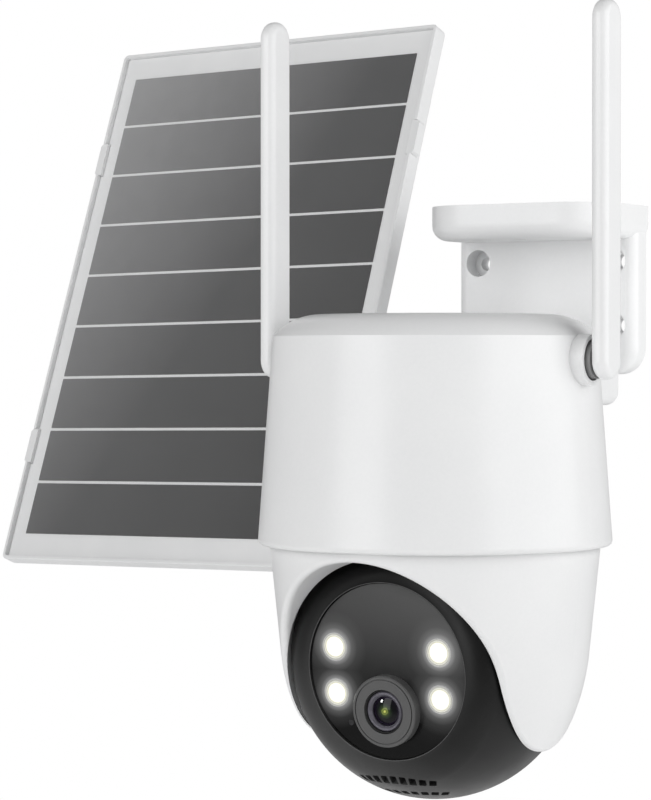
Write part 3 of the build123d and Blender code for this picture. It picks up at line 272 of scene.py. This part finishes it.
def white_frame():
    return moulded("white_frame", (0.78, 0.785, 0.79), (0.82, 0.823, 0.825), 0.42)


def inner_plastic():
    return moulded("inner_plastic", grey(0.5), grey(0.56), 0.5)


def grey_trim():
    return moulded("grey_trim", grey(0.19), grey(0.23), 0.4)


def black_shell():
    """Satin black shell: duller towards its crown, with a painted highlight that makes it a little greyer
    low on its left.
    """
    s = Surface("black_shell", {"IOR": 1.49})
    crown = s.along(ball_centre, (0.0, 0.0, 1.0))
    s.into("Specular IOR Level", s.remap(crown, 0.34, 0.1, 8 * MM, 30 * MM))
    # painted highlight: the base colour lifts from near black to dark grey low on the ball's left
    painted_highlight_low_left = s.remap(s.along(ball_centre, (-0.6, 0.0, -0.8)), 0.0, 1.0, 5 * MM, 34 * MM)
    tone = s.ramp(painted_highlight_low_left, [(0.0, grey(0.003)), (0.4, grey(0.012)), (1.0, grey(0.050))])
    fleck = s.ramp(s.noise(FLECK, 2.0), [(0.3, grey(0.92)), (0.7, grey(1.0))])
    s.into("Base Color", s.mix(1.0, tone, fleck, "MULTIPLY"))
    s.into("Roughness", s.remap(s.noise(GLOSS, 4.0), 0.33, 0.4))
    s.bump(s.noise(SPARK, 2.0), 0.004 * MM)
    return s.material


def speaker_black():
    return moulded("speaker_black", grey(0.010), grey(0.016), 0.55, relief=0.012 * MM)


def bezel_grey():
    return moulded("bezel_grey", grey(0.075), grey(0.09), 0.40, relief=0.004 * MM)


def black_rubber():
    s = Surface("black_rubber", {"IOR": 1.5})
    bloom = s.noise(6 * MM, 4.0)
    s.into("Base Color", s.ramp(bloom, [(0.35, grey(0.014)), (0.7, grey(0.03))]))
    s.into("Roughness", s.remap(bloom, 0.62, 0.78))
    s.bump(s.noise(0.25 * MM), 0.012 * MM)
    return s.material


def painted_arm():
    """Powder-coated steel: orange peel and a slight sheen."""
    s = Surface("painted_arm", {"IOR": 1.5, "Coat Weight": 0.25, "Coat Roughness": 0.3})
    drift = s.noise(30 * MM, 3.0)
    s.into("Base Color", s.ramp(drift, [(0.3, (0.76, 0.765, 0.77)), (0.7, (0.81, 0.815, 0.82))]))
    s.into("Roughness", s.remap(s.noise(4 * MM, 3.0), 0.42, 0.52))
    s.bump(s.noise(1.4 * MM, 1.0), 0.02 * MM)
    s.bump(s.noise(0.3 * MM, 1.0), 0.004 * MM)
    return s.material


def dark_window():
    """Smoked acrylic: a painted reflection that is brighter towards its top and near black at its foot,
    and a painted glow round each lamp.
    """
    s = Surface("dark_window", {"IOR": 1.49, "Specular IOR Level": 0.3})
    # painted reflection: the base colour is brighter towards the top of the window and near black at its
    # foot
    height = s.along(window_middle, (0.25, 0.0, 1.0))
    depth = s.remap(height, 0.0, 1.0, -window_radius, window_radius)
    s.into("Base Color", s.ramp(depth, [(0.15, grey(0.001)), (0.5, grey(0.024)), (0.95, grey(0.09))]))
    s.into("Roughness", s.remap(s.noise(14 * MM, 4.0), 0.14, 0.2))
    # painted glow: the window itself emits light in a ring round each lamp
    spread = s.remap(nearest_lamp(s), 0.0, 1.0, lamp_radius, 2.5 * lamp_radius)
    painted_lamp_glow = s.ramp(spread, [(0.0, grey(0.24)), (0.2, grey(0.08)), (0.5, grey(0.02)), (1.0, grey(0.0))])
    s.into("Emission Color", painted_lamp_glow)
    s.shader.inputs["Emission Strength"].default_value = 1.0
    s.bump(s.noise(20 * MM, 1.0), 0.01 * MM)
    return s.material


def lens_barrel_black():
    """Anodised barrel with fine turned rings, and painted shade that makes it nearly black further out
    than the lens.
    """
    lens = middle("lens_barrel")
    s = Surface("lens_barrel_black", {"IOR": 1.6, "Metallic": 0.35})
    wear = s.noise(2 * MM, 4.0)
    turned_face = s.ramp(wear, [(0.3, (0.09, 0.085, 0.105)), (0.75, (0.13, 0.124, 0.15))])
    # painted shade: surfaces further out than the lens are darkened to near black
    painted_outer_shade = s.remap(s.radius(lens, look), 1.0, 0.08, 8 * MM, 10 * MM)
    shade = s.ramp(painted_outer_shade, [(0.0, grey(0.0)), (1.0, grey(1.0))])
    s.into("Base Color", s.mix(1.0, turned_face, shade, "MULTIPLY"))
    s.into("Roughness", s.remap(wear, 0.3, 0.4))
    turned = s.math("SINE", s.math("MULTIPLY", s.radius(lens, look), 2 * math.pi / RING_PITCH))
    s.bump(turned, 0.01 * MM)
    return s.material


def lens_coated_glass():
    """Coated front element: painted reflections of its inner coatings, green and amber rings round a dark
    iris.
    """
    lens = middle("lens_glass")
    s = Surface("lens_coated_glass", {"Roughness": 0.05, "IOR": 1.5, "Specular IOR Level": 0.2})
    share = s.remap(s.radius(lens, look), 0.0, 1.0, 0.0, 5.0 * MM)
    wobble = s.math("ADD", share, s.remap(s.noise(1.2 * MM, 2.0), -0.03, 0.03))
    # painted reflections: bright amber at the centre, green rings, then dark towards the rim, all in the
    # base colour
    rings = [
        (0.0, (0.55, 0.56, 0.16)), (0.07, (0.34, 0.38, 0.08)), (0.12, (0.06, 0.075, 0.02)),
        (0.2, (0.16, 0.2, 0.045)), (0.28, (0.03, 0.045, 0.015)), (0.42, (0.012, 0.02, 0.01)),
        (0.55, (0.003, 0.004, 0.004)), (0.82, (0.004, 0.003, 0.006)), (0.93, (0.02, 0.014, 0.03)),
        (1.0, (0.004, 0.004, 0.005)),
    ]
    s.into("Base Color", s.ramp(wobble, rings))
    return s.material


def led_clear():
    """Lit lamp lens: white core, warm rim and the faint rings of its moulded optic."""
    s = Surface("led_clear", {"IOR": 1.49, "Roughness": 0.08})
    share = s.remap(nearest_lamp(s), 0.0, 1.0, 0.0, lamp_radius)
    s.into("Base Color", s.ramp(share, [(0.3, grey(0.8)), (0.7, (0.6, 0.59, 0.5)), (0.95, grey(0.3))]))
    s.into("Emission Color", s.ramp(share, [
        (0.5, (1.0, 1.0, 0.97)), (0.68, (1.0, 0.98, 0.80)), (0.8, (0.93, 0.93, 0.84)), (1.0, grey(0.9)),
    ]))
    glow = s.ramp(share, [
        (0.0, grey(1.0)), (0.5, grey(0.55)), (0.66, grey(0.2)), (0.73, grey(0.07)), (0.8, grey(0.16)),
        (0.87, grey(0.045)), (0.93, grey(0.10)), (1.0, grey(0.04)),
    ])
    s.into("Emission Strength", s.math("MULTIPLY", glow, LAMP_GLOW))
    return s.material


def metal(name, dark, light, rough, brush):
    """Plated metal with fine brush marks."""
    s = Surface(name, {"Metallic": 1.0})
    stain = s.noise(5 * MM, 4.0)
    s.into("Base Color", s.ramp(stain, [(0.3, dark), (0.7, light)]))
    s.into("Roughness", s.remap(s.noise(1.5 * MM, 3.0), rough - 0.05, rough + 0.08))
    s.bump(s.noise(0.4 * MM, 2.0, s.mapped(brush)), 0.006 * MM)
    return s.material


def screw_steel():
    return metal("screw_steel", grey(0.48), (0.62, 0.61, 0.59), 0.3, (1.0, 1.0, 5.0))


def motor_steel():
    return metal("motor_steel", grey(0.42), grey(0.55), 0.35, (1.0, 1.0, 7.0))


def module_shield():
    return metal("module_shield", grey(0.5), grey(0.64), 0.28, (6.0, 1.0, 1.0))


def pinion_brass():
    return metal("pinion_brass", (0.55, 0.36, 0.12), (0.68, 0.48, 0.19), 0.25, (1.0, 1.0, 6.0))


def gear_nylon():
    return moulded("gear_nylon", (0.62, 0.58, 0.48), (0.70, 0.67, 0.57), 0.45)


def cell_wrap():
    """Shrink-wrapped battery cells."""
    s = Surface("cell_wrap", {"IOR": 1.5, "Coat Weight": 0.4, "Coat Roughness": 0.12})
    crease = s.noise(7 * MM, 5.0)
    s.into("Base Color", s.ramp(crease, [(0.3, (0.02, 0.12, 0.26)), (0.7, (0.03, 0.16, 0.33))]))
    s.into("Roughness", s.remap(crease, 0.28, 0.4))
    s.bump(crease, 0.05 * MM)
    return s.material


def circuit_board():
    """Green solder mask over copper tracks."""
    s = Surface("circuit_board", {"IOR": 1.5})
    tracks = s.cells(2.2 * MM)
    s.into("Base Color", s.ramp(tracks, [(0.03, (0.05, 0.20, 0.08)), (0.09, (0.008, 0.07, 0.03))]))
    s.into("Roughness", s.remap(s.noise(3 * MM, 3.0), 0.3, 0.42))
    s.bump(tracks, 0.03 * MM, 0.5)
    return s.material


def solar_silicon():
    """Monocrystalline strips: hairline silver fingers, and a painted reflection that falls towards the
    lower right.
    """
    panel = middle("solar_cells")
    low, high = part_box("solar_cells")
    reach = 1.35 * (high.z - low.z) / 2
    s = Surface("solar_silicon", {"IOR": 1.5, "Roughness": 0.55})
    # painted reflection: the base colour is lighter towards the upper left of the panel and dark at its
    # lower right
    fade = s.remap(s.along(panel, (-1.0, 0.0, 0.6)), 0.0, 1.0, -reach, reach)
    sheen = s.ramp(fade, [(0.0, grey(0.012)), (0.5, (0.075, 0.075, 0.077)), (1.0, (0.36, 0.36, 0.364))])
    mottle = s.ramp(s.noise(6 * MM, 4.0), [(0.3, grey(0.94)), (0.7, grey(1.0))])
    across = s.along(panel, (1.0, 0.0, 0.0))
    fingers = s.math("SINE", s.math("MULTIPLY", across, 2 * math.pi / FINGER_PITCH))
    lines = s.ramp(s.remap(fingers, 0.0, 1.0, 0.93, 1.0), [(0.0, grey(1.0)), (1.0, grey(1.12))])
    s.into("Base Color", s.mix(1.0, s.mix(1.0, sheen, mottle, "MULTIPLY"), lines, "MULTIPLY"))
    return s.material


def backsheet_white():
    """White encapsulant film with a faint pressed weave."""
    s = Surface("backsheet_white", {"IOR": 1.45})
    tone = s.noise(12 * MM, 3.0)
    s.into("Base Color", s.ramp(tone, [(0.3, (0.84, 0.845, 0.85)), (0.7, (0.87, 0.873, 0.875))]))
    s.into("Roughness", s.remap(tone, 0.4, 0.5))
    s.bump(s.noise(0.5 * MM, 1.0), 0.01 * MM)
    return s.material


def cover_glass():
    """Clear cover sheet: see-through, with a soft reflection that grows towards grazing views."""
    s = Surface("cover_glass", {})
    s.tree.nodes.remove(s.shader)
    clear = s.node("ShaderNodeBsdfTransparent")
    slope = s.node("ShaderNodeLayerWeight")
    gloss = s.node("ShaderNodeBsdfGlossy")
    s.link(s.remap(s.noise(22 * MM, 4.0), 0.38, 0.46), gloss.inputs["Roughness"])
    s.blend_out(s.remap(slope.outputs["Facing"], 0.02, 0.2, 0.2, 1.0), clear, gloss)
    return s.material


finish = {
    build.__name__: build() for build in (
        white_shell, white_frame, painted_arm, black_shell, dark_window, bezel_grey, lens_barrel_black,
        lens_coated_glass, led_clear, grey_trim, black_rubber, screw_steel, inner_plastic, gear_nylon,
        pinion_brass, motor_steel, circuit_board, module_shield, cell_wrap, speaker_black, solar_silicon,
        cover_glass, backsheet_white,
    )
}

for node in nodes.values():
    for slot in node.material_slots:
        slot.material = finish[slot.material.name]


# ---------------------------------------------------------------- fine trim
def lathe(name, centre, profile, body, slot, turns=96):
    """Ring turned about the line of sight through a point: a closed profile of (radius, height) pairs."""
    sideways = Vector((1.0, 0.0, 0.0))
    upward = look.cross(sideways)
    shape = bmesh.new()
    loops = []
    for turn in range(turns):
        angle = 2 * math.pi * turn / turns
        outward = sideways * math.cos(angle) + upward * math.sin(angle)
        places = [centre + outward * radius + look * height for radius, height in profile]
        loops.append([shape.verts.new(place) for place in places])
    for turn in range(turns):
        here, there = loops[turn], loops[(turn + 1) % turns]
        for step in range(len(profile)):
            after = (step + 1) % len(profile)
            face = shape.faces.new((here[step], there[step], there[after], here[after]))
            face.smooth = True
    bmesh.ops.recalc_face_normals(shape, faces=shape.faces)
    mesh = bpy.data.meshes.new(name)
    shape.to_mesh(mesh)
    shape.free()
    mesh.materials.append(finish[slot])
    piece = bpy.data.objects.new(name, mesh)
    bpy.context.scene.collection.objects.link(piece)
    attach(piece, body)


def bead(radius, width, height, foot=-0.3 * MM):
    """Profile of a raised line with a rounded top, centred on a radius."""
    half = width / 2
    return [(radius - half, foot), (radius - half, height * 0.6), (radius - half * 0.5, height),
            (radius + half * 0.5, height), (radius + half, height * 0.6), (radius + half, foot)]


def front_of(node):
    """Middle of a disc-shaped node's front face; the disc faces along the line of sight."""
    low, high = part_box(node)
    size = high - low
    thickness = (size.y - size.x * abs(look.z)) / abs(look.y)
    return middle(node) + look * (thickness / 2)


window_face = front_of("front_window")
rim_line = bead(window_radius + 0.45 * MM, 0.35 * MM, 0.95 * MM)
lathe("window_rim", window_face, rim_line, "ball", "bezel_grey")
lamp_ring = bead(0.8 * lamp_radius, 0.35 * MM, 0.42 * MM)
lamp_edge = bead(0.94 * lamp_radius, 0.3 * MM, 0.36 * MM)
for number, spot in enumerate(lamp_spots()):
    face = spot + look * (window_face - spot).dot(look)
    lathe(f"lamp_ring_{number}", face, lamp_ring, "ball", "led_clear", 48)
    lathe(f"lamp_edge_{number}", face, lamp_edge, "ball", "led_clear", 48)
stop_ring = bead(barrel_bore, 0.25 * MM, 0.12 * MM)
lathe("lens_stop", front_of("lens_barrel"), stop_ring, "ball", "black_rubber")


# ---------------------------------------------------------------- studio and camera
def plain_floor():
    """Pale round floor under the object, fading out into the white backdrop."""
    drop, reach, turns = 0.1, 1.6, 64
    fade_start, fade_end = 0.1, 0.36
    mesh = bpy.data.meshes.new("floor")
    shape = bmesh.new()
    bmesh.ops.create_circle(shape, cap_ends=True, radius=reach, segments=turns)
    shape.to_mesh(mesh)
    shape.free()
    floor = bpy.data.objects.new("floor", mesh)
    low, high = cad_box
    floor.location = ((low.x + high.x) / 2, (low.y + high.y) / 2, low.z - drop)
    bpy.context.scene.collection.objects.link(floor)
    s = Surface("floor", {"IOR": 1.4, "Roughness": 0.6, "Emission Strength": 0.3})
    tone = s.ramp(s.noise(0.08, 3.0), [(0.3, grey(0.86)), (0.7, grey(0.88))])
    s.into("Base Color", tone)
    s.into("Emission Color", tone)
    distance = s.radius((0, 0, 0), (0, 0, 1))
    fade = s.remap(distance, 0.0, 1.0, fade_start, fade_end)
    s.blend_out(fade, s.shader, s.node("ShaderNodeBsdfTransparent"))
    mesh.materials.append(s.material)


def softbox(name, azimuth, elevation, distance, width, height, power, lit=()):
    """Area light facing the head, placed by its direction from it; it may light only some nodes."""
    data = bpy.data.lights.new(name, "AREA")
    data.shape = "RECTANGLE"
    data.size = width
    data.size_y = height
    data.energy = power
    light = bpy.data.objects.new(name, data)
    turn, rise = math.radians(azimuth), math.radians(elevation)
    away = Vector((math.sin(turn) * math.cos(rise), -math.cos(turn) * math.cos(rise), math.sin(rise)))
    target = pan_axis - Vector((0.0, 0.0, 0.03))
    light.location = target + away * distance
    light.rotation_euler = (-away).to_track_quat("-Z", "Y").to_euler()
    bpy.context.scene.collection.objects.link(light)
    if lit:
        receivers = bpy.data.collections.new(name + "_lights")
        for node in lit:
            receivers.objects.link(nodes[node])
        light.light_linking.receiver_collection = receivers


def white_room():
    """Studio surround: pure white to the eye, a dim light source above and a bright table below."""
    world = bpy.data.worlds.new("studio")
    world.use_nodes = True
    bpy.context.scene.world = world
    tree = world.node_tree
    shade = tree.nodes["Background"]
    place = tree.nodes.new("ShaderNodeTexCoord")
    split = tree.nodes.new("ShaderNodeSeparateXYZ")
    tree.links.new(place.outputs["Generated"], split.inputs["Vector"])
    span = tree.nodes.new("ShaderNodeMapRange")
    span.inputs["From Min"].default_value = -1.0
    tree.links.new(split.outputs["Z"], span.inputs["Value"])
    levels = [(0.05, grey(1.3)), (0.2, grey(0.8)), (0.4, grey(0.3)), (1.0, grey(0.26))]
    tree.links.new(colour_ramp(tree, span.outputs["Result"], levels), shade.inputs["Color"])
    seen = tree.nodes.new("ShaderNodeBackground")
    seen.inputs["Color"].default_value = (1.0, 1.0, 1.0, 1.0)
    path = tree.nodes.new("ShaderNodeLightPath")
    blend = tree.nodes.new("ShaderNodeMixShader")
    tree.links.new(path.outputs["Is Camera Ray"], blend.inputs["Fac"])
    tree.links.new(shade.outputs["Background"], blend.inputs[1])
    tree.links.new(seen.outputs["Background"], blend.inputs[2])
    tree.links.new(blend.outputs["Shader"], tree.nodes["World Output"].inputs["Surface"])


def viewpoint():
    """Long lens, level with the antenna hinges and off to the right of the head."""
    azimuth, distance, aside, down = math.radians(31.5), 0.976, 0.0371, math.radians(0.8)
    forward = Vector((-math.sin(azimuth), math.cos(azimuth), 0.0))
    right = Vector((math.cos(azimuth), math.sin(azimuth), 0.0))
    data = bpy.data.cameras.new("camera")
    data.lens = 129.6
    data.sensor_width = 36.0
    camera = bpy.data.objects.new("camera", data)
    camera.location = pan_axis - forward * distance - right * aside
    aim = forward * math.cos(down) - Vector((0.0, 0.0, math.sin(down)))
    camera.rotation_euler = aim.to_track_quat("-Z", "Y").to_euler()
    bpy.context.scene.collection.objects.link(camera)
    bpy.context.scene.camera = camera


plain_floor()
white_room()
softbox("left_softbox", -20.0, 14.0, 1.5, 0.9, 1.4, 12.0)
softbox("right_softbox", 97.0, 14.0, 1.5, 2.2, 1.4, 21.0)
softbox("lens_spark", -50.0, 16.0, 1.5, 0.25, 0.25, 14.0, ("lens_glass",))
softbox("bracket_fill", 42.0, 6.0, 1.5, 0.7, 0.7, 2.5, ("wall_bracket",))
viewpoint()
bpy.context.scene.view_settings.view_transform = "Standard"
